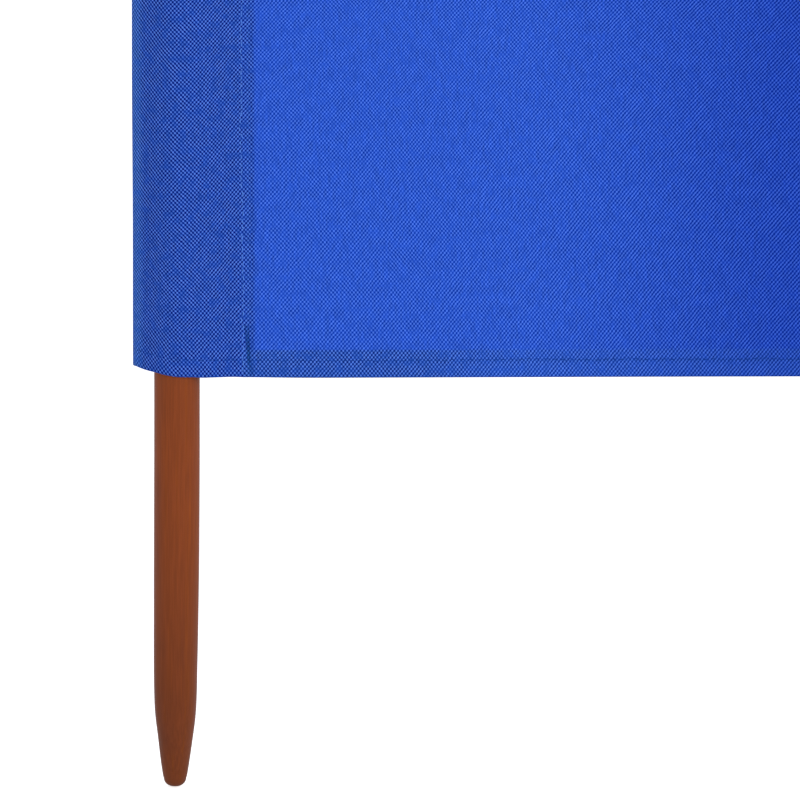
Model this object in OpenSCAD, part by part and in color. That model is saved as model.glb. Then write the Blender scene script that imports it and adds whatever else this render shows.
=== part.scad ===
// Beach windbreak: a row of cloth bays carried on round wooden stakes that push into sand.
// The origin is the middle stake's flat tip. +X runs along the row, -Y is the front, +Z is up.

/* [Row] */
// Number of cloth bays; there is one more stake than there are bays
bay_count = 4; // [1:1:6]
// Distance between the axes of neighbouring stakes
bay_pitch = 1000; // [500:10:1400]
// Height of the cloth, from the bottom edge to the top edge
cloth_h = 937; // [500:1:1200]
// Length of bare stake from the tip up to the bottom edge of the cloth
hem_z = 233; // [180:1:400]
// Length of stake that stands above the cloth
stake_above = 30; // [5:1:80]

/* [Stakes] */
// Diameter of the round shank
stake_d = 25; // [18:0.5:34]
// Height above the tip at which the shank starts to ease in
taper_z = 130; // [80:1:170]
// How much the radius eases in between there and the point
taper_in = 1; // [0:0.1:2]
// Height of the cut point
point_z = 47; // [30:1:70]
// Radius of the rounding at the end of the point
tip_round = 4.5; // [1:0.1:5]
// Diameter of the flat at the very tip
tip_flat_d = 3.4; // [2:0.1:6]
// Chamfer round the top end
top_chamfer = 1.5; // [0.5:0.1:4]

/* [Cloth] */
// Thickness of one layer of cloth
cloth_t = 0.6; // [0.3:0.1:1]
// Height of the hems that are folded behind, top and bottom
hem_h = 15.5; // [8:0.5:30]
// How far the panels hang in front of the stakes' axes
sheet_forward = 4; // [0:0.5:6]

/* [Sleeves] */
// Clearance between a stake and the cloth round it
sleeve_clear = 0.3; // [0.1:0.1:1]
// Slack from an end stake's shank out to the folded edge of the cloth
fold_slack = 11.9; // [8:0.1:30]
// Slack from an end stake's shank to the seam beside it
end_seam_slack = 23.5; // [14:0.5:50]
// Slack from an inner stake's shank to the seams on both sides
mid_seam_slack = 21.5; // [14:0.5:50]
// Width of cloth that the stitching presses flat inside each seam
seam_press = 3; // [1:0.5:8]
// Cloth left beyond each seam, from the stitching to the raw edge
allowance = 7; // [3:0.5:12]

/* [Hidden] */
stake_count = bay_count + 1;
middle_stake = 1 + floor(bay_count / 2);
stake_r = stake_d / 2;
stake_len = hem_z + cloth_h + stake_above;
cloth_top = hem_z + cloth_h;
tube_r = stake_r + sleeve_clear + 2 * cloth_t;
end_fold_x = stake_r + fold_slack;
end_seam_x = stake_r + end_seam_slack;
mid_seam_x = stake_r + mid_seam_slack;
sheet_y = -sheet_forward;
hem_tip_shift = 2.5 * cloth_t;
arc_steps = 8;
cut_over = 1;
wood_colour = [0.51, 0.27, 0.16];
panel_colour = [0.18, 0.35, 0.80];
double_colour = [0.17, 0.30, 0.67];

// Place along the row of a stake's axis
function stake_x(i) = (i - middle_stake) * bay_pitch;
// Distance from a stake's axis to the seam where the bay before it ends
function seam_before(i) = i == stake_count ? end_seam_x : mid_seam_x;
// Distance from a stake's axis to the seam where the bay after it starts
function seam_after(i) = i == 1 ? end_seam_x : mid_seam_x;

// Points of a circular arc round a centre
function arc(centre, r, from_a, to_a) = [
    for (k = [0:arc_steps])
        let (a = from_a + (to_a - from_a) * k / arc_steps)
        centre + r * [cos(a), sin(a)]
];
// Direction of a point seen from the stake's axis, from 0 to 360 degrees
function heading(p) = (atan2(p.y, p.x) + 360) % 360;
// Angle between that direction and the spot where a straight line from the point touches a circle
function touch(p, r) = acos(r / norm(p));
// Where cloth stretched from a left point to a right point lies on the front of a circle
function front_wrap(left, right, r) =
    arc([0, 0], r, heading(left) + touch(left, r), heading(right) - touch(right, r));
// The same on the back of the circle, from the right point to the left one
function back_wrap(left, right, r) =
    arc([0, 0], r, heading(right) - 360 + touch(right, r), heading(left) - touch(left, r));

// Half outline of a stake: flat tip, rounded corner, straight point, slow taper, shank, chamfer
function stake_outline() =
    let (
        corner = [tip_flat_d / 2, tip_round],
        shoulder = [stake_r - taper_in, point_z],
        away = shoulder - corner,
        end_a = atan2(away.y, away.x) - acos(tip_round / norm(away))
    )
    concat(
        [[0, 0]],
        arc(corner, tip_round, -90, end_a),
        [
            shoulder,
            [stake_r, taper_z],
            [stake_r, stake_len - top_chamfer],
            [stake_r - top_chamfer, stake_len],
            [0, stake_len]
        ]
    );

// The folded edge of an end sleeve, for a wall that lies this far inside the outer face
function fold_point(inset) = [-end_fold_x * (tube_r - inset) / tube_r, 0];
// The place where the two layers of a sleeve come together beside a seam
function press_point(seam_x, shift_y) = [seam_x - seam_press, sheet_y + shift_y];
// A point mirrored to the other side of the stake
function across(p) = [-p.x, p.y];

// The stitched strip beside a seam, from the front face round the raw edge to the back face
function seam_strip(seam_x) = [
    press_point(seam_x, -cloth_t),
    [seam_x, sheet_y - cloth_t],
    [seam_x, sheet_y],
    [seam_x + allowance, sheet_y],
    [seam_x + allowance, sheet_y + cloth_t],
    press_point(seam_x, cloth_t)
];

// Outer outline of the sleeve at the left end, which is the sheet folded behind the stake
function end_outside() = concat(
    [fold_point(0)],
    front_wrap(fold_point(0), press_point(end_seam_x, -cloth_t), tube_r),
    seam_strip(end_seam_x),
    back_wrap(fold_point(0), press_point(end_seam_x, cloth_t), tube_r)
);

// Its pocket, for a wall of this thickness
function end_pocket(wall, tip_shift) =
    let (tip = press_point(end_seam_x - tip_shift, 0), r = tube_r - wall)
    concat(
        [fold_point(wall)],
        front_wrap(fold_point(wall), tip, r),
        [tip],
        back_wrap(fold_point(wall), tip, r)
    );

// Outer outline of an inner sleeve, which is the sheet in front and a sewn-on strip behind
function mid_outside() =
    let (
        front = press_point(mid_seam_x, -cloth_t),
        back = press_point(mid_seam_x, cloth_t),
        strip = seam_strip(mid_seam_x),
        last = len(strip) - 1
    )
    concat(
        front_wrap(across(front), front, tube_r),
        strip,
        back_wrap(across(back), back, tube_r),
        [for (k = [0:last]) across(strip[last - k])]
    );

// Its pocket, for a wall of this thickness
function mid_pocket(wall, tip_shift) =
    let (tip = press_point(mid_seam_x - tip_shift, 0), r = tube_r - wall)
    concat(
        [across(tip)],
        front_wrap(across(tip), tip, r),
        [tip],
        back_wrap(across(tip), tip, r)
    );

// A sleeve of the cloth's height: single walls, and double ones where the hems are folded inside
module tube(outside, pocket, hem_pocket) {
    translate([0, 0, hem_z]) difference() {
        linear_extrude(cloth_h) polygon(outside);
        translate([0, 0, hem_h]) linear_extrude(cloth_h - 2 * hem_h) polygon(pocket);
        translate([0, 0, -cut_over]) linear_extrude(cloth_h + 2 * cut_over) polygon(hem_pocket);
    }
}

module end_sleeve() {
    tube(end_outside(), end_pocket(cloth_t, 0), end_pocket(2 * cloth_t, hem_tip_shift));
}

module mid_sleeve() {
    tube(mid_outside(), mid_pocket(cloth_t, 0), mid_pocket(2 * cloth_t, hem_tip_shift));
}

// A flat piece of cloth one layer thick
module flat_cloth(from_x, to_x, back_y, from_z, height) {
    translate([from_x, back_y - cloth_t, from_z]) cube([to_x - from_x, cloth_t, height]);
}

module stake(i) {
    color(wood_colour) translate([stake_x(i), 0, 0]) {
        rotate_extrude($fn = 96) polygon(stake_outline());
    }
}

module sleeve(i) {
    color(double_colour) translate([stake_x(i), 0, 0]) {
        if (i == 1) end_sleeve();
        else if (i == stake_count) mirror([1, 0, 0]) end_sleeve();
        else mid_sleeve();
    }
}

// The cloth of a bay, from seam to seam
module panel(i) {
    from_x = stake_x(i) + seam_after(i);
    to_x = stake_x(i + 1) - seam_before(i + 1);
    color(panel_colour) flat_cloth(from_x, to_x, sheet_y, hem_z, cloth_h);
}

// The edge of a bay folded behind it, between the raw edges of the two sleeves
module hem(i, from_z) {
    from_x = stake_x(i) + seam_after(i) + allowance;
    to_x = stake_x(i + 1) - seam_before(i + 1) - allowance;
    color(double_colour) flat_cloth(from_x, to_x, sheet_y + cloth_t, from_z, hem_h);
}

for (i = [1:stake_count]) stake(i);
for (i = [1:stake_count]) sleeve(i);
for (i = [1:bay_count]) panel(i);
for (i = [1:bay_count]) hem(i, hem_z);
for (i = [1:bay_count]) hem(i, cloth_top - hem_h);
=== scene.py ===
"""Dresses the beach windbreak: sewn cloth bays and sleeves on round stained stakes.

Lengths in the dataclass fields are millimetres, as a maker would write them; meshes are built in metres.
+X runs along the row, -Y is the front and +Z is up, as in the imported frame.
"""

import logging
import math
import sys
from collections.abc import Callable, Sequence
from dataclasses import dataclass, field
from enum import Enum
from functools import partial
from typing import Any

import bpy
import numpy as np
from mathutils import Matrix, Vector

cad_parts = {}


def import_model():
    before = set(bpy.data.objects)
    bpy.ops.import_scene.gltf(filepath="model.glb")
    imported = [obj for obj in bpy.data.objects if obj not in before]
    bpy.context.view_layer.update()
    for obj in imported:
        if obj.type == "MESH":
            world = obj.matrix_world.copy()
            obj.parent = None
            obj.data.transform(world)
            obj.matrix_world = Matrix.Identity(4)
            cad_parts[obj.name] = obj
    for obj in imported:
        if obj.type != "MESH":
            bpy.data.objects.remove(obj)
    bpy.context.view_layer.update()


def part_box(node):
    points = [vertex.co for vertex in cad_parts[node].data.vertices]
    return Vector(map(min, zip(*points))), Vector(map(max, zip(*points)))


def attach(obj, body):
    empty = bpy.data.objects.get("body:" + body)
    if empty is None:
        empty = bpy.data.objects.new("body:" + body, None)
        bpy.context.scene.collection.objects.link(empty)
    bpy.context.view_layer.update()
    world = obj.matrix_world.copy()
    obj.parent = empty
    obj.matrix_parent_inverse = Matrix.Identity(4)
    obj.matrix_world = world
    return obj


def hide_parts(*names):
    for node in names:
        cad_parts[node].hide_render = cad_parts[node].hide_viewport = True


MM = 0.001
TINY = 1e-9
FULL_TURN = 2.0 * math.pi
HARD_EDGE = math.radians(42.0)
ROOT = "root"
CLOTH_THICK = 0.42
LOG = logging.getLogger("windbreak")

# Direction in which each stake leans, in degrees from +X.
LEAN_HEADINGS = (180.0, 40.0, 285.0, 130.0, 20.0)
STAKE_COUNT = len(LEAN_HEADINGS)

# Share of a bay's height, from its foot up, that hangs without large waves.
FIRST_CALM = 0.22
OTHER_CALM = 0.05

# Names of the values kept at the points of the meshes.
RUN = "cloth_run"
# Share of the two-layer tone; a single layer is painted paler for the backlight that comes through it.
LAYERS = "cloth_layers"
# Painted shade in creases, stitch grooves and under folded edges.
CREASE_SHADE = "cloth_crease_shade"
# Painted light: which diagonal ridges of the net look lit.
SLANT = "cloth_slant"
# Painted sheen along the sleeves' folded edge, and a paler tone beside the seams and over the hems.
SHEEN_AND_PALING = "cloth_sheen_and_paling"
STAKE_RUN = "stake_run"

Colour = tuple[float, float, float]
Place = tuple[float, float, float]
Point2 = tuple[float, float]
Number = float | np.ndarray
Socket = bpy.types.NodeSocket

# How far each place of a section moves at each height.
Warp = Callable[[np.ndarray, np.ndarray], np.ndarray]


class Edge(Enum):
    """The two hemmed edges of the cloth."""

    BOTTOM = "bottom"
    TOP = "top"


class Face(Enum):
    """The side of the row that something shows on; the value is its direction along Y."""

    FRONT = -1.0
    BACK = 1.0


class Turn(Enum):
    """Which way along X the cloth of a sleeve runs on from its seam."""

    RIGHT = 1.0
    LEFT = -1.0


# --------------------------------------------------------------------------------------------
# Curves
# --------------------------------------------------------------------------------------------


def smoothstep(low: float, high: float, value: np.ndarray) -> np.ndarray:
    """Eases from 0 at low to 1 at high.

    Args:
        low: Value where the result is still 0.
        high: Value where the result has reached 1.
        value: Values to ease.

    Returns:
        The eased values, between 0 and 1.
    """
    t = np.clip((value - low) / (high - low), 0.0, 1.0)
    return t * t * (3.0 - 2.0 * t)


def ease_down(low: float, high: float, value: np.ndarray) -> np.ndarray:
    """Eases from 1 at low down to 0 at high."""
    return 1.0 - smoothstep(low, high, value)


def hump(away: np.ndarray, width: float) -> np.ndarray:
    """A smooth hump that is 1 where away is 0 and has mostly gone a width and a half from there."""
    return np.exp(-((away / width) ** 2))


def run_length(points: np.ndarray) -> np.ndarray:
    """Distance along a line of points, from its start to each one."""
    return np.concatenate([[0.0], np.cumsum(np.linalg.norm(np.diff(points, axis=0), axis=1))])


def smooth_line(knots: Sequence[Point2], step: float) -> np.ndarray:
    """Runs a smooth line through points in a plane.

    Args:
        knots: Points that the line passes through.
        step: Distance between the points of the result.

    Returns:
        Points about step apart, one row each.
    """
    p = np.array(knots, float)
    along = run_length(p)
    slope = np.gradient(p, along, axis=0)
    count = max(2, int(math.ceil(along[-1] / step)) + 1)
    at = np.linspace(0.0, along[-1], count)
    i = np.clip(np.searchsorted(along, at, side="right") - 1, 0, len(p) - 2)
    h = (along[i + 1] - along[i])[:, None]
    t = ((at - along[i]) / h[:, 0])[:, None]
    return (
        (2 * t**3 - 3 * t**2 + 1) * p[i]
        + (t**3 - 2 * t**2 + t) * h * slope[i]
        + (-2 * t**3 + 3 * t**2) * p[i + 1]
        + (t**3 - t**2) * h * slope[i + 1]
    )


def spaced_levels(stops: Sequence[Point2], low: float, high: float) -> np.ndarray:
    """Levels between two ends, with the same changing spacing inwards from both.

    Args:
        stops: Pairs of a distance in from an end and the spacing from there on.
        low: First level.
        high: Last level.

    Returns:
        The levels, rising.
    """
    middle = 0.5 * (high - low)
    ends = [start for start, _ in stops[1:]] + [middle]
    parts = []
    for (start, step), end in zip(stops, ends):
        count = max(1, int(round((end - start) / step)))
        parts.append(np.linspace(start, end, count, endpoint=False))
    half = np.concatenate(parts + [np.array([middle])])
    return np.concatenate([low + half, (high - half[::-1])[1:]])


@dataclass(frozen=True)
class Ripple:
    """One train of waves in cloth: its height, how fast it turns along X and Z, and its share of the seed."""

    height: float
    by_x: float
    by_z: float
    by_seed: float

    def at(self, x: np.ndarray, z: np.ndarray, seed: float) -> np.ndarray:
        """Its height at each place."""
        return self.height * np.sin(self.by_x * x + self.by_z * z + self.by_seed * seed)


# --------------------------------------------------------------------------------------------
# Meshes
# --------------------------------------------------------------------------------------------


def grid_faces(rows: int, columns: int, first: int = 0, flip: bool = False) -> np.ndarray:
    """Quads of a grid of points that are stored row by row.

    Args:
        rows: Number of rows of points.
        columns: Number of points in a row.
        first: Index of the grid's first point.
        flip: Whether the faces look the other way.

    Returns:
        One row of four indices for each face.
    """
    r, c = np.meshgrid(np.arange(rows - 1), np.arange(columns - 1), indexing="ij")
    a = (first + r * columns + c).ravel()
    quads = np.stack([a, a + 1, a + columns + 1, a + columns], axis=1)
    return quads[:, ::-1] if flip else quads


def add_mesh(
    name: str, points: np.ndarray, faces: list[list[int]], data: dict[str, np.ndarray] | None = None
) -> bpy.types.Object:
    """Makes a mesh object in the row's frame.

    Args:
        name: Name of the object.
        points: Points in metres, one row each.
        faces: Indices of each face's points.
        data: Values kept at the points, by name: one number or three for each point.

    Returns:
        The object, smooth shaded with its hard edges kept.
    """
    mesh = bpy.data.meshes.new(name)
    mesh.from_pydata(points.tolist(), [], faces)
    for key, values in (data or {}).items():
        kept = np.asarray(values, np.float32)
        kind, item = ("FLOAT", "value") if kept.ndim == 1 else ("FLOAT_VECTOR", "vector")
        mesh.attributes.new(key, kind, "POINT").data.foreach_set(item, kept.ravel())
    mesh.polygons.foreach_set("use_smooth", [True] * len(mesh.polygons))
    mesh.validate()
    mesh.set_sharp_from_angle(angle=HARD_EDGE)
    mesh.update()
    made = bpy.data.objects.new(name, mesh)
    bpy.context.scene.collection.objects.link(made)
    return made


@dataclass
class ClothGrid:
    """A sheet of cloth as a grid of points on its middle surface, with what its finish needs at each one."""

    points: np.ndarray
    run: np.ndarray
    layers: np.ndarray
    crease_shade: np.ndarray
    slant: np.ndarray
    sheen_and_paling: np.ndarray

    def turned(self, axis: int) -> "ClothGrid":
        """The same sheet facing the other way, with its rows (0) or columns (1) in reverse order."""
        kept = (self.points, self.run, self.layers, self.crease_shade, self.slant, self.sheen_and_paling)
        return ClothGrid(*(np.flip(values, axis) for values in kept))

    def normals(self) -> np.ndarray:
        """Directions straight out of the sheet at each point."""
        out = np.cross(np.gradient(self.points, axis=1), np.gradient(self.points, axis=0))
        return out / np.maximum(np.linalg.norm(out, axis=2, keepdims=True), TINY)

    def build(self, name: str) -> bpy.types.Object:
        """Gives the sheet its thickness and makes it a piece.

        Args:
            name: Name of the piece.

        Returns:
            The closed thin shell.
        """
        rows, columns = self.points.shape[:2]
        out = self.normals() * (0.5 * CLOTH_THICK)
        near = (self.points + out).reshape(-1, 3)
        far = (self.points - out).reshape(-1, 3)
        count = rows * columns
        index = np.arange(count).reshape(rows, columns)
        ring = np.concatenate([index[0, :-1], index[:-1, -1], index[-1, :0:-1], index[:0:-1, 0]])
        after = np.roll(ring, -1)
        rim = np.stack([after, ring, ring + count, after + count], axis=1)
        faces = np.concatenate([grid_faces(rows, columns), grid_faces(rows, columns, count, True), rim])
        run = np.concatenate([self.run, np.zeros((rows, columns, 1))], axis=2).reshape(-1, 3)
        data = {RUN: np.concatenate([run, run]) * MM}
        both_sides = {LAYERS: self.layers, CREASE_SHADE: self.crease_shade, SLANT: self.slant, SHEEN_AND_PALING: self.sheen_and_paling}
        for key, values in both_sides.items():
            data[key] = np.tile(values.ravel(), 2)
        return add_mesh(name, np.concatenate([near, far]) * MM, faces.tolist(), data)


# --------------------------------------------------------------------------------------------
# Node trees
# --------------------------------------------------------------------------------------------


class NodeDesk:
    """Adds and joins the nodes of one tree with short calls."""

    def __init__(self, tree: bpy.types.NodeTree) -> None:
        """Takes the tree to work on: a material's, a world's or a group's."""
        self.tree = tree

    def feed(self, socket: Socket, value: Any) -> None:
        """Joins another node's socket to this one, or sets its own value.

        Args:
            socket: The input to feed.
            value: A socket, a number, a vector, or a colour without its alpha.
        """
        if isinstance(value, Socket):
            self.tree.links.new(value, socket)
        elif socket.type == "RGBA":
            socket.default_value = (*value, 1.0)
        else:
            socket.default_value = value

    def fill(self, node: bpy.types.Node, values: dict[str | int, Any]) -> None:
        """Feeds several inputs of a node, by name or by place."""
        for key, value in values.items():
            self.feed(node.inputs[key], value)

    def add(self, kind: str, values: dict[str | int, Any] | None = None, **settings: Any) -> bpy.types.Node:
        """Adds a node.

        Args:
            kind: Blender's name of the node type.
            values: What to feed its inputs, by name or by place.
            **settings: Properties to set on it first.

        Returns:
            The new node.
        """
        node = self.tree.nodes.new(kind)
        for key, value in settings.items():
            setattr(node, key, value)
        self.fill(node, values or {})
        return node

    def math(self, operation: str, a: Any, b: Any = 0.0, clamp: bool = False) -> Socket:
        """Works out one sum of two numbers, kept between 0 and 1 if clamp is set."""
        return self.add("ShaderNodeMath", {0: a, 1: b}, operation=operation, use_clamp=clamp).outputs[0]

    def times(self, a: Any, b: Any) -> Socket:
        """The product of two numbers."""
        return self.math("MULTIPLY", a, b)

    def plus(self, a: Any, b: Any) -> Socket:
        """The sum of two numbers."""
        return self.math("ADD", a, b)

    def minus(self, a: Any, b: Any) -> Socket:
        """The difference of two numbers."""
        return self.math("SUBTRACT", a, b)

    def vector(self, operation: str, a: Any, b: Any) -> Socket:
        """Works out one sum of two vectors, or of a vector and the factor that scales it."""
        second = "Scale" if operation == "SCALE" else 1
        return self.add("ShaderNodeVectorMath", {0: a, second: b}, operation=operation).outputs[0]

    def parts(self, vector: Any) -> tuple[Socket, ...]:
        """The three numbers of a vector."""
        return tuple(self.add("ShaderNodeSeparateXYZ", {0: vector}).outputs)

    def grey(self, value: Any) -> Socket:
        """A number as a shade of grey."""
        return self.add("ShaderNodeCombineXYZ", {0: value, 1: value, 2: value}).outputs[0]

    def blend(self, share: Any, low: Any, high: Any, mode: str = "MIX") -> Socket:
        """Mixes two colours.

        Args:
            share: How much of the second colour shows.
            low: First colour.
            high: Second colour.
            mode: Blender's name of the way to mix.

        Returns:
            The mixed colour's socket.
        """
        values = {0: share, 6: low, 7: high}
        return self.add("ShaderNodeMix", values, data_type="RGBA", blend_type=mode).outputs[2]

    def tint(self, share: Any, colour: Any, by: Any) -> Socket:
        """Deepens a colour by multiplying it with another, as far as share says."""
        return self.blend(share, colour, self.blend(1.0, colour, by, "MULTIPLY"))

    def ease(
        self, value: Any, low: float, high: float, to_low: float = 0.0, to_high: float = 1.0
    ) -> Socket:
        """Maps one range onto another with soft ends.

        Args:
            value: Number to map.
            low: Start of its range.
            high: End of its range.
            to_low: Result at the start.
            to_high: Result at the end.

        Returns:
            The mapped number's socket.
        """
        values = {0: value, 1: low, 2: high, 3: to_low, 4: to_high}
        return self.add("ShaderNodeMapRange", values, interpolation_type="SMOOTHSTEP").outputs[0]

    def noise(self, where: Any, scale: float, detail: float = 2.0, rough: float = 0.5) -> bpy.types.Node:
        """Adds a noise pattern.

        Args:
            where: Coordinates to read it at.
            scale: Features for each unit of length.
            detail: Number of finer layers.
            rough: How strong the finer layers are.

        Returns:
            The noise node, with its Fac and Color outputs.
        """
        values = {"Vector": where, "Scale": scale, "Detail": detail, "Roughness": rough}
        return self.add("ShaderNodeTexNoise", values)

    def mottle(self, where: Any, scale: float, detail: float = 2.0, rough: float = 0.5) -> Socket:
        """The plain number of a noise pattern."""
        return self.noise(where, scale, detail, rough).outputs["Fac"]

    def attribute(self, name: str, output: str = "Fac") -> Socket:
        """The values kept at a mesh's points under this name."""
        return self.add("ShaderNodeAttribute", attribute_name=name).outputs[output]

    def place(self) -> Socket:
        """Where on the object a point is."""
        return self.add("ShaderNodeTexCoord").outputs["Object"]

    def group(self, tree: bpy.types.NodeTree, **values: Any) -> Socket:
        """Places a shared group, feeds its inputs by name and returns its one output."""
        return self.add("ShaderNodeGroup", values, node_tree=tree).outputs[0]

    def bump(self, height: Any, strength: float, distance: float) -> Socket:
        """A normal that is bent by a height, with the distance that a height of 1 stands for in metres."""
        values = {"Strength": strength, "Distance": distance, "Height": height}
        return self.add("ShaderNodeBump", values).outputs[0]


class SharedGroup:
    """A node group that is built once, with named inputs and one named output."""

    def __init__(self, name: str, inputs: dict[str, Any], output: str) -> None:
        """Makes the empty group and its sockets.

        Args:
            name: Name of the group.
            inputs: Starting value of each input; a tuple makes a vector.
            output: Name of the number that it puts out.
        """
        self.tree = bpy.data.node_groups.new(name, "ShaderNodeTree")
        for key, value in inputs.items():
            kind = "Vector" if isinstance(value, tuple) else "Float"
            socket = self.tree.interface.new_socket(key, in_out="INPUT", socket_type=f"NodeSocket{kind}")
            socket.default_value = value
        self.tree.interface.new_socket(output, in_out="OUTPUT", socket_type="NodeSocketFloat")
        self.desk = NodeDesk(self.tree)
        self.given = self.desk.add("NodeGroupInput").outputs
        self.result = self.desk.add("NodeGroupOutput").inputs

    def finished(self, value: Socket) -> bpy.types.NodeTree:
        """Joins the result to the output and returns the group's tree."""
        self.desk.feed(self.result[0], value)
        return self.tree


class ClothPatterns:
    """The patterns that every cloth and thread finish shares."""

    def __init__(self) -> None:
        """Builds the groups."""
        self.lattice = self._lattice()
        self.fibres = self._fibres()
        self.fold_shade = self._fold_shade()

    @staticmethod
    def _lattice() -> bpy.types.NodeTree:
        """The staggered net of pressed points.

        Returns:
            The group, which puts out a wave from -1 in a pit to 1 on the raised net.
        """
        inputs = {
            "Run": (0.0, 0.0, 0.0),
            "Across": 0.00207,
            "Up": 0.00242,
            "Sway": 0.02,
            "Jitter": 0.0006,
            "Slant": 0.0,
            "Patches": 0.75,
        }
        shared = SharedGroup("embossed lattice", inputs, "Wave")
        desk, given = shared.desk, shared.given
        run = moved = given["Run"]
        for scale, detail, size in ((4.0, 0.0, given["Sway"]), (300.0, 1.0, given["Jitter"])):
            drift = desk.vector("SUBTRACT", desk.noise(run, scale, detail).outputs["Color"], (0.5, 0.5, 0.5))
            moved = desk.vector("ADD", moved, desk.vector("SCALE", drift, size))
        x, y, _ = desk.parts(moved)
        across = desk.times(desk.math("DIVIDE", x, given["Across"]), FULL_TURN)
        up = desk.times(desk.math("DIVIDE", y, given["Up"]), FULL_TURN)
        rising = desk.math("COSINE", desk.minus(across, up))
        falling = desk.math("COSINE", desk.plus(across, up))
        # Slant and its patches weight one diagonal of the net over the other: painted light, for the ridges
        # that the light picks out where the cloth turns.
        patch = desk.minus(desk.mottle(run, scale=62.0, detail=1.0), 0.5)
        lean = desk.plus(given["Slant"], desk.times(patch, given["Patches"]))
        share = desk.ease(lean, -1.0, 1.0, to_low=0.1, to_high=0.9)
        both = desk.plus(desk.times(rising, share), desk.times(falling, desk.minus(1.0, share)))
        press = desk.ease(desk.mottle(run, scale=230.0, detail=1.0), 0.25, 0.75, to_low=0.45, to_high=1.5)
        return shared.finished(desk.times(both, press))

    @staticmethod
    def _fibres() -> bpy.types.NodeTree:
        """The web of bonded fibres: short slanting streaks both ways and a fine mottle.

        Returns:
            The group, which puts out the web from 0 to 1.
        """
        shared = SharedGroup("fibre web", {"Run": (0.0, 0.0, 0.0), "Size": 1.0}, "Web")
        desk, given = shared.desk, shared.given
        run = desk.vector("SCALE", given["Run"], given["Size"])
        streaks = []
        for angle, stretch in ((38.0, (700.0, 110.0, 1.0)), (-31.0, (760.0, 130.0, 1.0))):
            values = {"Vector": run, "Rotation": (0.0, 0.0, math.radians(angle)), "Scale": stretch}
            turned = desk.add("ShaderNodeMapping", values).outputs[0]
            streaks.append(desk.mottle(turned, scale=1.0, detail=1.0, rough=0.6))
        both = desk.times(desk.plus(*streaks), 0.35)
        fine = desk.times(desk.mottle(run, scale=150.0, detail=3.0, rough=0.6), 0.3)
        return shared.finished(desk.plus(both, fine))

    @staticmethod
    def _fold_shade() -> bpy.types.NodeTree:
        """Broad bands of painted shade along the row, standing in for the soft shading of folds in the cloth,
        strongest at the foot of the first bay.

        Returns:
            The group, which puts out their depth from 0 to 1.
        """
        inputs = {"Place": (0.0, 0.0, 0.0), "Start": -1.766, "Length": 0.62}
        shared = SharedGroup("painted fold shade", inputs, "Depth")
        desk, given = shared.desk, shared.given
        x, _, z = desk.parts(given["Place"])
        bend = desk.times(desk.mottle(given["Place"], scale=0.9, detail=1.0), 0.30)
        moved = desk.plus(desk.minus(x, given["Start"]), bend)
        turns = desk.times(desk.math("DIVIDE", moved, given["Length"]), FULL_TURN)
        swell = desk.plus(desk.times(desk.math("COSINE", turns), -0.75), 0.5)
        small = desk.times(desk.minus(desk.mottle(given["Place"], scale=11.0), 0.5), 0.4)
        depth = desk.math("ADD", swell, small, clamp=True)
        along = desk.ease(x, -1.655, -1.38, to_low=1.0, to_high=0.45)
        upward = desk.ease(z, 0.46, 0.95, to_low=1.0, to_high=0.62)
        return shared.finished(desk.times(depth, desk.times(along, upward)))


def new_material(name: str) -> tuple[NodeDesk, bpy.types.Node, bpy.types.Material]:
    """Starts a material.

    Args:
        name: Name of the material.

    Returns:
        Its desk, its Principled shader and the material.
    """
    material = bpy.data.materials.new(name)
    material.use_nodes = True
    material.node_tree.nodes.clear()
    desk = NodeDesk(material.node_tree)
    shader = desk.add("ShaderNodeBsdfPrincipled")
    desk.add("ShaderNodeOutputMaterial", {"Surface": shader.outputs[0]})
    return desk, shader, material


@dataclass(frozen=True)
class LatticeTone:
    """Colours of the embossed net for one thickness of cloth: pit, middle and raised point."""

    pit: Colour
    middle: Colour
    raised: Colour


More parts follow.
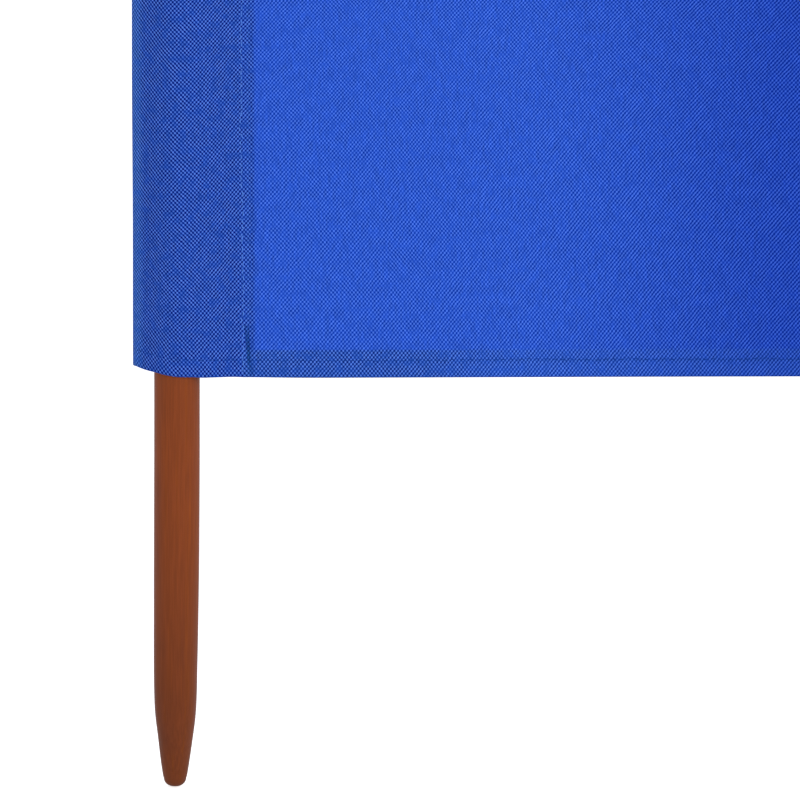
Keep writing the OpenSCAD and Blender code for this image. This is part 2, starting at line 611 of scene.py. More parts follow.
@dataclass(frozen=True)
class EmbossedCloth:
    """Blue spunbonded cloth, whose tone and relief deepen where two layers lie together; one layer is painted
    paler for the backlight that comes through it.
    """

    name: str
    single: LatticeTone
    double: LatticeTone
    # Tint of the painted fold shade.
    drift: Colour
    relief: float = 0.00012
    gain: float = 1.5
    # How much more the net stands out where the painted fold shade is deepest.
    fold_shade_gain: float = 1.35
    # Added to lighten the cloth: painted sheen along the sleeves' folded edge, and a paler tone beside the
    # seams and over the hems.
    sheen_and_paling_tint: Colour = (0.010, 0.040, 0.085)
    # Tint of the painted shade in creases, stitch grooves and under folded edges.
    pulled: Colour = (0.15, 0.42, 0.50)
    sheen: Colour = (0.40, 0.85, 1.0)

    def material(self, patterns: ClothPatterns) -> bpy.types.Material:
        """Builds the finish.

        Args:
            patterns: The shared groups.

        Returns:
            The material.
        """
        desk, shader, made = new_material(self.name)
        run = desk.attribute(RUN, "Vector")
        layers, crease_shade, slant, sheen_and_paling = (desk.attribute(key) for key in (LAYERS, CREASE_SHADE, SLANT, SHEEN_AND_PALING))
        wave = desk.group(patterns.lattice, Run=run, Slant=slant)
        web = desk.group(patterns.fibres, Run=run)
        # Painted shade: broad bands that stand in for the shading of soft folds.
        depth = desk.group(patterns.fold_shade, Place=desk.place())
        pressed = desk.times(wave, desk.ease(depth, 0.0, 1.0, self.gain, self.fold_shade_gain * self.gain))
        in_pit = desk.math("MULTIPLY", pressed, -1.0, clamp=True)
        on_net = desk.math("MULTIPLY", pressed, 1.0, clamp=True)
        tones = []
        for tone in (self.single, self.double):
            shade = desk.blend(in_pit, tone.middle, tone.pit)
            tones.append(desk.blend(on_net, shade, tone.raised))
        # Painted light: a single layer takes the paler tone, for the backlight through the thin cloth, and
        # two layers the deeper one.
        cloth = desk.blend(layers, *tones)
        cloth = desk.tint(depth, cloth, self.drift)
        streak = desk.grey(desk.ease(web, 0.3, 0.7, to_low=0.86, to_high=1.14))
        cloth = desk.blend(1.0, cloth, streak, "MULTIPLY")
        # Painted shade in the tacks' creases, the stitch grooves and under the folded edges.
        cloth = desk.tint(crease_shade, cloth, self.pulled)
        # Lightened with painted sheen along the sleeves' fold, and paler beside the seams and over the hems.
        cloth = desk.blend(sheen_and_paling, cloth, desk.blend(1.0, cloth, self.sheen_and_paling_tint, "ADD"))
        height = desk.plus(desk.times(wave, 0.5), desk.times(web, 0.5))
        values = {
            "Base Color": cloth,
            "Roughness": desk.ease(wave, -1.0, 1.0, to_low=0.66, to_high=0.52),
            "Specular IOR Level": 0.025,
            "Sheen Weight": 0.12,
            "Sheen Roughness": 0.35,
            "Sheen Tint": self.sheen,
            "Normal": desk.bump(height, strength=0.5, distance=self.relief),
        }
        desk.fill(shader, values)
        return made


@dataclass(frozen=True)
class SewingThread:
    """Spun polyester thread with a fine twist, its twist grooves darkened with painted shade."""

    name: str
    shade: Colour
    twist_shade: Colour
    relief: float = 0.00008

    def material(self, patterns: ClothPatterns) -> bpy.types.Material:
        """Builds the finish.

        Args:
            patterns: The shared groups.

        Returns:
            The material.
        """
        desk, shader, made = new_material(self.name)
        place = desk.place()
        values = {"Vector": place, "Scale": 900.0, "Distortion": 1.5}
        twist = desk.add("ShaderNodeTexWave", values, bands_direction="DIAGONAL").outputs["Fac"]
        # How deep the painted shade in the twist's grooves is, varying at random.
        twist_shade_share = desk.ease(desk.mottle(place, scale=120.0), 0.3, 0.7, to_low=0.35, to_high=0.8)
        web = desk.group(patterns.fibres, Run=place, Size=2.0)
        values = {
            "Base Color": desk.blend(desk.times(twist, twist_shade_share), self.shade, self.twist_shade),
            "Roughness": desk.ease(web, 0.3, 0.7, to_low=0.5, to_high=0.65),
            "Specular IOR Level": 0.06,
            "Normal": desk.bump(twist, strength=0.4, distance=self.relief),
        }
        desk.fill(shader, values)
        return made


@dataclass(frozen=True)
class StainedWood:
    """Round softwood under a thin red-brown stain, with streaks, painted shade that deepens towards the
    point, a darker tip and end grain.
    """

    name: str = "red-brown stained softwood"
    body: Colour = (0.249, 0.0525, 0.0112)
    orange: Colour = (0.300, 0.064, 0.0050)
    brown: Colour = (0.200, 0.044, 0.0125)
    # Tint of the painted shade that darkens the stake towards its point.
    point: Colour = (0.62, 0.66, 0.76)
    end_light: Colour = (0.26, 0.085, 0.034)
    end_dark: Colour = (0.11, 0.030, 0.013)
    ring_turns: float = 3600.0
    relief: float = 0.0002

    def grain(self, desk: NodeDesk, across: Place, detail: float = 2.0, rough: float = 0.5) -> Socket:
        """A mottle of the wood with this many features for each metre along X, Y and Z."""
        return desk.mottle(desk.vector("MULTIPLY", desk.place(), across), 1.0, detail, rough)

    def end_grain(self, desk: NodeDesk, local: Socket) -> Socket:
        """Colour of the sawn top, with growth rings round the stake's axis.

        Args:
            desk: Desk of the material.
            local: Places measured from the stake's own tip.

        Returns:
            The colour's socket.
        """
        x, y, _ = desk.parts(local)
        out = desk.math("SQRT", desk.plus(desk.times(x, x), desk.times(y, y)))
        wobble = desk.times(desk.mottle(local, scale=120.0), 9.0)
        rings = desk.math("SINE", desk.plus(desk.times(out, self.ring_turns), wobble))
        return desk.blend(desk.ease(rings, -0.7, 0.9), self.end_light, self.end_dark)

    def material(self) -> bpy.types.Material:
        """Builds the finish.

        Returns:
            The material.
        """
        desk, shader, made = new_material(self.name)
        local = desk.attribute(STAKE_RUN, "Vector")
        _, _, z = desk.parts(local)
        streak = self.grain(desk, (520.0, 520.0, 9.0), detail=3.0, rough=0.55)
        pores = self.grain(desk, (1900.0, 1900.0, 45.0))
        blotch = self.grain(desk, (90.0, 90.0, 22.0))
        stain = desk.blend(desk.ease(streak, 0.50, 0.72, to_high=0.55), self.body, self.orange)
        stain = desk.blend(desk.ease(blotch, 0.48, 0.74, to_high=0.60), stain, self.brown)
        fleck = desk.grey(desk.ease(pores, 0.35, 0.7, to_low=0.90, to_high=1.08))
        stain = desk.blend(1.0, stain, fleck, "MULTIPLY")
        # Painted shade: darker over the lowest 200 mm towards the point, where less light falls.
        stain = desk.tint(desk.ease(z, -0.03, 0.20, to_low=1.0, to_high=0.0), stain, self.point)
        tip = desk.times(desk.ease(z, 0.0, 0.006, to_low=1.0, to_high=0.0), 0.55)
        stain = desk.blend(tip, stain, self.end_dark)
        _, _, facing_up = desk.parts(desk.add("ShaderNodeNewGeometry").outputs["Normal"])
        top = desk.ease(facing_up, 0.80, 0.95)
        height = desk.plus(desk.times(streak, 0.6), desk.times(pores, 0.4))
        values = {
            "Base Color": desk.blend(top, stain, self.end_grain(desk, local)),
            "Roughness": desk.ease(streak, 0.3, 0.75, to_low=0.46, to_high=0.56),
            "Specular IOR Level": 0.12,
            "Normal": desk.bump(height, strength=0.35, distance=self.relief),
        }
        desk.fill(shader, values)
        return made


class Finishes:
    """Every material of the windbreak."""

    def __init__(self) -> None:
        """Builds them all."""
        patterns = ClothPatterns()
        # The single tone is painted paler than the double one, for the backlight that comes through one layer
        # of the thin cloth.
        single = LatticeTone(
            pit=(0.001, 0.034, 0.385),
            middle=(0.0205, 0.090, 0.606),
            raised=(0.078, 0.199, 0.835),
        )
        double = LatticeTone(
            pit=(0.000, 0.002, 0.142),
            middle=(0.0080, 0.058, 0.415),
            raised=(0.100, 0.222, 0.750),
        )
        # The drift colour is the tint of the painted fold shade.
        cloth = EmbossedCloth("blue embossed cloth", single, double, drift=(0.54, 0.60, 0.76))
        # Painted highlight: the same thread as the hem's, made lighter where the seam's ridge catches the
        # light.
        seam = SewingThread("seam thread with painted highlight", shade=(0.135, 0.335, 0.93), twist_shade=(0.060, 0.185, 0.70))
        # Painted shade: the hem's stitches are made darker where they sink into their groove.
        hem = SewingThread("hem thread with painted groove shade", shade=(0.006, 0.060, 0.370), twist_shade=(0.001, 0.032, 0.250))
        # Dark thread, deepened further by the painted shade of the tack's crease.
        tack = SewingThread("tack thread with painted crease shade", shade=(0.006, 0.056, 0.265), twist_shade=(0.001, 0.030, 0.185))
        self.cloth = cloth.material(patterns)
        self.seam = seam.material(patterns)
        self.hem = hem.material(patterns)
        self.tack = tack.material(patterns)
        self.wood = StainedWood().material()


def finish_piece(
    piece: bpy.types.Object, material: bpy.types.Material, slot: str, *nodes: str
) -> bpy.types.Object:
    """Dresses a piece, hangs it on the root body and hides the CAD nodes that it stands for.

    Args:
        piece: The new piece.
        material: Its finish.
        slot: Not used.
        *nodes: CAD nodes that it stands for.

    Returns:
        The same piece.
    """
    piece.data.materials.append(material)
    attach(piece, ROOT)
    if nodes:
        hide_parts(*nodes)
    LOG.info("%s: %d faces", piece.name, len(piece.data.polygons))
    return piece


# --------------------------------------------------------------------------------------------
# Thread
# --------------------------------------------------------------------------------------------


def steady_rng(name: str) -> np.random.Generator:
    """Random numbers that are the same each time for a piece of this name."""
    return np.random.default_rng(sum(ord(c) for c in name))


@dataclass
class StitchSet:
    """Collects stitches lying on the cloth and makes them one piece.

    A ring of a stitch is its place along the stitch, its share of the thread's radius and its rise in radii.
    """

    thread: float = 0.42
    sides: int = 5
    rings: tuple[Place, ...] = ((0.10, 0.80, -0.12), (0.5, 1.0, 0.22), (0.90, 0.80, -0.12))
    sunk: float = 0.9
    start_slip: float = 0.07
    side_slip: float = 0.08
    length_range: Point2 = (0.88, 1.08)
    starts: list[np.ndarray] = field(default_factory=list)
    ends: list[np.ndarray] = field(default_factory=list)
    outs: list[np.ndarray] = field(default_factory=list)

    def add(self, start: np.ndarray, end: np.ndarray, out: np.ndarray) -> None:
        """Lays stitches.

        Args:
            start: Where each one comes up, in millimetres.
            end: Where each one goes down again.
            out: Direction away from the cloth at each one.
        """
        self.starts.append(start)
        self.ends.append(end)
        self.outs.append(out)

    def along(
        self, path: np.ndarray, out: np.ndarray, pitch: float, shown: float, rng: np.random.Generator
    ) -> None:
        """Sews a row along a line on the cloth.

        Args:
            path: Points of the line, in millimetres.
            out: Direction away from the cloth at each point.
            pitch: Distance from one stitch to the next.
            shown: Length of a stitch.
            rng: Where the small irregularities come from.
        """
        along = run_length(path)
        count = int(along[-1] / pitch)
        first = (along[-1] - count * pitch) * 0.5 + (np.arange(count) + 0.5) * pitch - 0.5 * shown
        first = first + rng.normal(0.0, self.start_slip * pitch, count)
        last = first + shown * rng.uniform(*self.length_range, count)
        sideways = np.cross(np.gradient(path, axis=0)[0], out[0])
        slip = rng.normal(0.0, self.side_slip, (2, count, 1)) * sideways
        start = self.read(first, along, path) + slip[0]
        end = self.read(last, along, path) + slip[1]
        self.add(start, end, self.read(0.5 * (first + last), along, out))

    @staticmethod
    def read(at: np.ndarray, along: np.ndarray, values: np.ndarray) -> np.ndarray:
        """Reads values kept along a line.

        Args:
            at: Distances along the line to read them at.
            along: Distance of each kept value.
            values: The values, three in a row.

        Returns:
            One row for each distance.
        """
        return np.stack([np.interp(at, along, values[:, k]) for k in range(3)], axis=1)

    def template(self) -> list[list[int]]:
        """Faces of one stitch, whose points are its start, its rings and its end.

        Returns:
            Indices of each face's points.
        """
        sides, rings = self.sides, len(self.rings)
        pairs = [(k, (k + 1) % sides) for k in range(sides)]
        faces = [[0, 1 + after, 1 + k] for k, after in pairs]
        for r in range(rings - 1):
            low, high = 1 + r * sides, 1 + (r + 1) * sides
            faces += [[low + k, low + after, high + after, high + k] for k, after in pairs]
        last, end = 1 + (rings - 1) * sides, 1 + rings * sides
        return faces + [[end, last + k, last + after] for k, after in pairs]

    def build(self, name: str) -> bpy.types.Object:
        """Makes the piece.

        Args:
            name: Name of the piece.

        Returns:
            One mesh with every stitch as a small arched length of thread.
        """
        start, end = np.concatenate(self.starts), np.concatenate(self.ends)
        out = np.concatenate(self.outs)
        out = out / np.linalg.norm(out, axis=1, keepdims=True)
        side = np.cross(end - start, out)
        side = side / np.maximum(np.linalg.norm(side, axis=1, keepdims=True), TINY)
        radius = 0.5 * self.thread
        below = out * (self.sunk * radius)
        rows = [start - below]
        for t, wide, rise in self.rings:
            centre = start + (end - start) * t + out * (rise * radius)
            for k in range(self.sides):
                a = FULL_TURN * k / self.sides
                rows.append(centre + (side * math.cos(a) + out * math.sin(a)) * (wide * radius))
        rows.append(end - below)
        points = np.stack(rows, axis=1)
        each, template = len(rows), self.template()
        faces = [[i * each + v for v in face] for i in range(len(start)) for face in template]
        return add_mesh(name, points.reshape(-1, 3) * MM, faces)


# --------------------------------------------------------------------------------------------
# Stakes
# --------------------------------------------------------------------------------------------


@dataclass
class WoodenStake:
    """A round stake with a slow taper, a cut point, a blunt rounded tip and a chamfered top.

    The lean is pairs of a height and how far the stake's middle lies off its axis there. The profile is pairs
    of a height and the radius there.
    """

    number: int
    axis_x: float
    length: float
    lean_heading: float = 180.0
    lean: tuple[Point2, ...] = (
        (0.0, 1.70), (14.0, 1.58), (30.0, 1.32), (48.0, 1.28), (65.0, 1.20), (82.0, 1.00),
        (105.0, 0.74), (133.0, 0.50), (162.0, 0.32), (190.0, 0.16), (225.0, 0.05), (260.0, 0.0),
    )
    profile: tuple[Point2, ...] = (
        (5.6, 6.6), (10.2, 7.35), (17.1, 8.3), (23.9, 9.15), (30.7, 10.0), (37.6, 10.85), (41.5, 11.2),
        (45.5, 11.45), (51.0, 11.66), (65.0, 11.9), (79.0, 12.07), (99.0, 12.22), (116.0, 12.35),
        (140.0, 12.43), (175.0, 12.5),
    )
    radius: float = 12.5
    shank_from: float = 190.0
    tip_flat_r: float = 1.7
    tip_round: float = 4.5
    top_chamfer: float = 1.5
    top_round: float = 0.12
    top_inset: float = 0.5
    segments: int = 56

    def outline(self) -> np.ndarray:
        """Half outline of the stake.

        Returns:
            Radius and height of its rings, from the tip to the top.
        """
        turn = np.radians(np.linspace(-90.0, 0.0, 9))
        tip_r = self.tip_flat_r + self.tip_round * np.cos(turn)
        tip = np.stack([tip_r, self.tip_round * (1.0 + np.sin(turn))], axis=1)
        foot = smooth_line([(r, z) for z, r in self.profile], step=3.0)
        shank = np.array([(self.radius, z) for z in np.arange(self.shank_from, self.length - 8.0, 18.0)])
        r, end, cut = self.radius, self.length, self.top_chamfer
        top = [
            (r, end - cut - self.top_inset),
            (r - self.top_round, end - cut),
            (r - cut, end - self.top_round),
            (r - cut - self.top_inset, end),
        ]
        return np.concatenate([tip, foot, shank, top])

    def unevenness(self, angle: np.ndarray, z: np.ndarray) -> np.ndarray:
        """How unevenly the wood is turned, with nothing at the tip and the top end.

        Args:
            angle: Directions round the stake.
            z: Heights.

        Returns:
            How far the wood swells beyond its radius.
        """
        seed = 1.7 * self.number
        swell = 0.06 * np.sin(2.0 * angle + seed + z / 170.0) + 0.04 * np.sin(3.0 * angle - seed + z / 60.0)
        return swell * smoothstep(6.0, 60.0, z) * smoothstep(0.0, 20.0, self.length - z)

    def build(self, finishes: Finishes) -> None:
        """Makes and dresses the stake.

        Args:
            finishes: The materials.
        """
        outline = self.outline()
        angle = np.linspace(0.0, FULL_TURN, self.segments, endpoint=False)
        z = outline[:, 1:]
        wide = outline[:, :1] + self.unevenness(angle, z)
        off_axis = np.interp(z, *zip(*self.lean))
        heading = math.radians(self.lean_heading)
        x = wide * np.cos(angle) + off_axis * math.cos(heading)
        y = wide * np.sin(angle) + off_axis * math.sin(heading)
        rings = np.stack([x, y, np.broadcast_to(z, x.shape)], axis=2)
        ends = [rings[0].mean(axis=0), rings[-1].mean(axis=0)]
        points = np.concatenate([rings.reshape(-1, 3), ends])
        index = np.arange(x.size).reshape(x.shape)
        after = np.roll(index, -1, axis=1)
        walls = np.stack([index[:-1], after[:-1], after[1:], index[1:]], axis=2).reshape(-1, 4)
        tip, head = (np.full(self.segments, x.size + k) for k in (0, 1))
        caps = np.stack([[tip, after[0], index[0]], [head, index[-1], after[-1]]]).transpose(2, 0, 1)
        faces = walls.tolist() + caps.reshape(-1, 3).tolist()
        placed = points + np.array([self.axis_x, 0.0, 0.0])
        piece = add_mesh(f"wood_stake_{self.number}", placed * MM, faces, {STAKE_RUN: points * MM})
        finish_piece(piece, finishes.wood, "stained_wood", f"stake_{self.number}")


# --------------------------------------------------------------------------------------------
# Bays
# --------------------------------------------------------------------------------------------


@dataclass(frozen=True)
class ClothMake:
    """How the cloth is cut and sewn everywhere on the row.

    The level stops are pairs of a distance in from an edge and the spacing of the points from there on.
    """

    low: float
    high: float
    sheet_y: float = -4.3
    hem: float = 15.5
    stitch_line: float = 9.7
    allowance: float = 7.0
    fold_gap: float = 0.62
    hem_bulk: float = 1.15
    seam_pitch: float = 4.0
    seam_stitch: float = 3.0
    hem_pitch: float = 4.6
    seam_reach: float = 60.0
    level_stops: tuple[Point2, ...] = (
        (0.0, 0.5), (1.0, 1.75), (8.0, 0.65), (11.9, 1.5), (14.9, 0.7), (17.0, 2.8), (42.0, 6.0),
        (60.0, 13.0),
    )

    def edge_off(self, z: np.ndarray) -> np.ndarray:
        """Distance of each height from the nearer edge of the cloth."""
        return np.minimum(z - self.low, self.high - z)

    def level(self, edge: Edge, off: Number) -> Number:
        """Height at a distance in from an edge of the cloth."""
        return self.low + off if edge is Edge.BOTTOM else self.high - off

    def hem_zone(self, z: np.ndarray) -> np.ndarray:
        """How far each level lies within a hem, from 0 to 1."""
        return ease_down(self.hem - 0.5, self.hem + 6.0, self.edge_off(z))

    def double_by_hem(self, z: np.ndarray) -> np.ndarray:
        """Where the folded hem deepens the tone, from 0 to 1."""
        return ease_down(self.hem - 0.6, self.hem + 0.8, self.edge_off(z))

    def drawn_in(self, z: np.ndarray) -> np.ndarray:
        """How far a seam draws the cloth's edges inwards.

        Args:
            z: Heights.

        Returns:
            The distance at each height, + upwards.
        """
        low = ease_down(0.0, self.seam_reach, z - self.low)
        high = ease_down(0.0, self.seam_reach, self.high - z)
        return 0.5 * (low - high)

    def bend(self, start: float, end: float, count: int) -> np.ndarray:
        """Section of a folded edge.

        Args:
            start: Angle that it starts at, in degrees; 0 is on the sheet and 180 behind it.
            end: Angle that it ends at.
            count: Number of points.

        Returns:
            How far behind the sheet and how far in from the edge each point lies.
        """
        r = 0.5 * self.fold_gap
        turn = np.radians(np.linspace(start, end, count))
        return np.stack([r * (1.0 - np.cos(turn)), r * (1.0 - np.sin(turn))], axis=1)

    def levels(self) -> np.ndarray:
        """Heights of the cloth's rows of points, closer together in the hems."""
        return spaced_levels(self.level_stops, self.low, self.high)


@dataclass
class BayDrape:
    """How the cloth of one bay hangs between its seams, held straight along its edges.

    It bellies in the middle, has small waves away from its edges and larger ones above its calm foot.
    """

    left: float
    right: float
    make: ClothMake
    seed: float
    calm: float
    belly: float = 6.0
    crease: float = 1.8
    crease_turns: float = 13.0
    waves: tuple[Ripple, ...] = (
        Ripple(1.9, 0.0148, 0.0031, 1.0),
        Ripple(1.3, 0.0235, -0.0068, 2.3),
        Ripple(0.8, 0.0105, 0.0161, 0.7),
    )
    billows: tuple[Ripple, ...] = (
        Ripple(7.6, 0.0172, 0.0041, 1.9),
        Ripple(3.6, 0.0291, -0.0066, 3.1),
        Ripple(2.0, 0.0120, 0.0247, 0.4),
    )

    def y(self, x: np.ndarray, z: np.ndarray) -> np.ndarray:
        """Place across the row of the cloth's middle surface.

        Args:
            x: Places along the row, in millimetres.
            z: Heights.

        Returns:
            The distance from the row's plane, in millimetres, + behind it.
        """
        u = (x - self.left) / (self.right - self.left)
        v = (z - self.make.low) / (self.make.high - self.make.low)
        held = np.sin(np.pi * np.clip(u, 0.0, 1.0))
        full = 0.72 + 0.55 * np.sin(np.pi * np.clip(v, 0.0, 1.0))
        inner = smoothstep(0.04, 0.30, u) * smoothstep(0.04, 0.30, 1.0 - u)
        free = inner * smoothstep(0.03, 0.25, v) * smoothstep(0.03, 0.22, 1.0 - v)
        high_up = smoothstep(self.calm, self.calm + 0.26, v) * smoothstep(0.02, 0.22, 1.0 - v)
        small = sum(wave.at(x, z, self.seed) for wave in self.waves)
        large = inner * high_up * sum(billow.at(x, z, self.seed) for billow in self.billows)
        return self.make.sheet_y + self.belly * held * full + small * free + large + self.drag(x, z)

    def drag(self, x: np.ndarray, z: np.ndarray) -> np.ndarray:
        """Creases that fan out from the top corners, where the cloth's weight hangs.

        Args:
            x: Places along the row, in millimetres.
            z: Heights.

        Returns:
            How far they move the cloth across the row, in millimetres.
        """
        total = np.zeros(np.broadcast(x, z).shape)
        below = self.make.high - z
        for side, beside in enumerate((x - self.left, self.right - x)):
            far = np.hypot(beside, below)
            slope = np.arctan2(np.maximum(below, 0.0), np.maximum(beside, 0.001))
            fan = np.sin(self.crease_turns * slope + 1.7 * self.seed + 2.0 * side) * np.sin(2.0 * slope)
            total = total + self.crease * fan * smoothstep(25.0, 150.0, far) * ease_down(230.0, 580.0, far)
        return total


@dataclass(frozen=True)
class TackMark:
    """A bar tack that locks an end of a seam, and the crease that runs on from it to the cloth's edge.

    The places are pairs of a distance from the seam and one from the cloth's edge. The strengths are how hard
    the cloth is pulled at each place and at the crease's end.
    """

    seam_x: float
    turn: Turn
    make: ClothMake
    edge: Edge
    places: tuple[Point2, ...] = ((2.1, 29.5), (2.5, 22.0), (2.75, 15.0), (2.95, 8.5))
    crease_end: Point2 = (5.0, 1.6)
    strengths: tuple[float, ...] = (0.3, 0.9, 1.0, 1.0, 0.45)

    def spot(self, from_seam: float, off: float) -> Point2:
        """A place in the row's frame, from its distances to the seam and to the cloth's edge."""
        return self.seam_x + self.turn.value * from_seam, self.make.level(self.edge, off)

    def line(self) -> np.ndarray:
        """Places along the middle of the tack, from its inner end to the one near the hem."""
        return np.array([self.spot(*place) for place in self.places])

    def depth(self, x: np.ndarray, z: np.ndarray) -> np.ndarray:
        """How strongly the tack and its crease pull the cloth in at each place, from 0 to 1; the same pull
        sets the painted crease shade there.

        Args:
            x: Places along the row, in millimetres.
            z: Heights.

        Returns:
            The pull at each place.
        """
        beside_tack = self.line() + np.array([self.turn.value * 0.45, 0.0])
        knots = np.concatenate([beside_tack, [self.spot(*self.crease_end)]])
        pulled = np.zeros(np.broadcast(x, z).shape)
        for i in range(len(knots) - 1):
            a, d = knots[i], knots[i + 1] - knots[i]
            t = np.clip(((x - a[0]) * d[0] + (z - a[1]) * d[1]) / float(d @ d), 0.0, 1.0)
            away = np.hypot(x - a[0] - t * d[0], z - a[1] - t * d[1])
            strong = self.strengths[i] * (1.0 - t) + self.strengths[i + 1] * t
            pulled = np.maximum(pulled, strong * (0.74 * hump(away, 0.85) + 0.26 * hump(away, 1.7)))
        return pulled


@dataclass
class BayCloth:
    """One bay: the single sheet between two seams, its folded hems and their stitching."""

    number: int
    left: float
    right: float
    make: ClothMake
    drape: BayDrape
    hem_stitch: float = 3.5
    pressed_gap: float = 0.46
    tack_thread: float = 0.36
    tack_pitch: float = 0.66
    column_stops: tuple[Point2, ...] = ((0.0, 0.45), (5.4, 0.92), (10.0, 2.0), (18.0, 5.0), (40.0, 13.0))

    def tacks(self) -> list[TackMark]:
        """The tacks at the feet and heads of the bay's seams."""
        ends = ((self.left, Turn.RIGHT), (self.right, Turn.LEFT))
        return [TackMark(x, turn, self.make, edge) for x, turn in ends for edge in Edge]

    def columns(self) -> np.ndarray:
        """Places of the sheet's columns of points, closer together beside the seams."""
        return spaced_levels(self.column_stops, self.left, self.right)

    def beside(self, x: np.ndarray) -> np.ndarray:
        """Distance from the nearer seam."""
        return np.minimum(x - self.left, self.right - x)

    def surface(self, x: np.ndarray, z: np.ndarray) -> tuple[np.ndarray, np.ndarray]:
        """Middle surface of the sheet and how much it is pulled in by the tacks.

        Args:
            x: Places along the row.
            z: Heights.

        Returns:
            The place across the row and the pull, from 0 to 1.
        """
        pull = np.zeros(np.broadcast(x, z).shape)
        for tack in self.tacks():
            pull = np.maximum(pull, tack.depth(x, z))
        sewn = hump(self.make.edge_off(z) - self.make.stitch_line, 0.8)
        return self.drape.y(x, z) + 0.22 * pull + 0.16 * sewn, pull

    def edge_lift(self, x: np.ndarray, z: np.ndarray) -> np.ndarray:
        """How far the seams draw the cloth's edges inwards beside them, + upwards."""
        return self.make.drawn_in(z) * hump(np.maximum(self.beside(x), 0.0), 24.0)

    def hem_strength(self, beside: np.ndarray) -> np.ndarray:
        """How much of the deeper two-layer tone the hem shows, less away from the seams."""
        return 0.97 - 0.53 * smoothstep(80.0, 165.0, beside) - 0.14 * smoothstep(165.0, 260.0, beside)

    def slant(self, beside: np.ndarray) -> np.ndarray:
        """How much more the rows of the net that rise to the right stand out, as painted light."""
        return 0.06 + 0.20 * smoothstep(60.0, 260.0, beside)

    def build_panel(self, finishes: Finishes) -> bpy.types.Object:
        """Makes the sheet between the seams.

        Args:
            finishes: The materials.

        Returns:
            The sheet's piece.
        """
        levels = self.make.levels()
        levels[0] += 0.5 * self.make.fold_gap
        levels[-1] -= 0.5 * self.make.fold_gap
        x, z = np.meshgrid(self.columns(), levels)
        y, pull = self.surface(x, z)
        beside, off = self.beside(x), self.make.edge_off(z)
        raw_edge = self.make.allowance - 0.7
        by_seam = 0.72 * ease_down(raw_edge - 0.9, raw_edge + 0.9, beside)
        by_seam = by_seam + 0.12 * ease_down(raw_edge, raw_edge + 5.0, beside)
        in_hem = self.make.double_by_hem(z)
        layers = np.maximum(by_seam, self.hem_strength(beside) * in_hem)
        # Painted shade: a dark line in the stitch groove, one beside the raw edge of the allowance behind,
        # and one under the fold at the edge, joined to the tacks' creases.
        sewn = hump(off - self.make.stitch_line, 1.1) * smoothstep(60.0, 200.0, beside)
        ridge = hump(beside - raw_edge + 0.6, 0.9)
        rim = hump(off, 0.7)
        pull = np.clip(0.95 * pull + 0.26 * sewn + 0.12 * ridge + 0.45 * rim, 0.0, 1.0)
        # A paler tone beside the seam and over the hem.
        sheen_and_paling = 0.25 * hump(beside - 3.1, 0.6) + 0.30 * in_hem
        points = np.stack([x, y, z + self.edge_lift(x, z)], axis=2)
        grid = ClothGrid(points, np.stack([x, z], axis=2), layers, pull, self.slant(beside), sheen_and_paling)
        piece = grid.build(f"panel_cloth_{self.number}")
        return finish_piece(piece, finishes.cloth, "cloth_single", f"panel_{self.number}")

    def hem_path(self) -> np.ndarray:
        """Section of a folded edge, from its fold to its raw edge.

        Returns:
            How far behind the sheet and how far in from the cloth's edge each point lies.
        """
        r = 0.5 * self.make.fold_gap
        behind_fold = [(2.1 * r, 1.6), (2.25 * r, 4.5)]
        by_stitches = [(0.50, 8.6), (self.pressed_gap, 9.96), (0.52, 11.4)]
        to_raw_edge = [(0.95, 13.9), (1.3, self.make.hem)]
        return np.concatenate([self.make.bend(0.0, 180.0, 11), behind_fold, by_stitches, to_raw_edge])

    def build_hem(self, edge: Edge, finishes: Finishes) -> bpy.types.Object:
        """Makes the folded edge behind the sheet.

        Args:
            edge: Which edge of the cloth.
            finishes: The materials.

        Returns:
            The hem's piece.
        """
        path, gap = self.hem_path(), self.make.fold_gap
        x, off = np.meshgrid(self.columns(), path[:, 1])
        back = np.broadcast_to(path[:, :1], x.shape)
        z = self.make.level(edge, off)
        y, pull = self.surface(x, z)
        beside = self.beside(x)
        curl = 0.35 * np.sin(0.055 * x + 3.0 * self.number) * smoothstep(10.2, self.make.hem, off)
        curl = curl * smoothstep(10.0, 30.0, beside)
        flat = np.minimum(back, gap + (back - gap) * smoothstep(9.0, 16.0, beside))
        points = np.stack([x, y + flat + curl, z + self.edge_lift(x, z)], axis=2)
        run = np.stack([x, self.make.level(edge, -off)], axis=2)
        layers = np.minimum(0.25 + self.hem_strength(beside), 1.0)
        # Painted shade from the tacks' creases and under the fold along the edge.
        dark = 0.5 * pull + 0.5 * hump(off, 0.8)
        grid = ClothGrid(points, run, layers, dark, self.slant(beside), np.zeros(x.shape))
        if edge is Edge.BOTTOM:
            grid = grid.turned(0)
        piece = grid.build(f"hem_{edge.value}_cloth_{self.number}")
        return finish_piece(piece, finishes.cloth, "cloth_double", f"hem_{edge.value}_{self.number}")

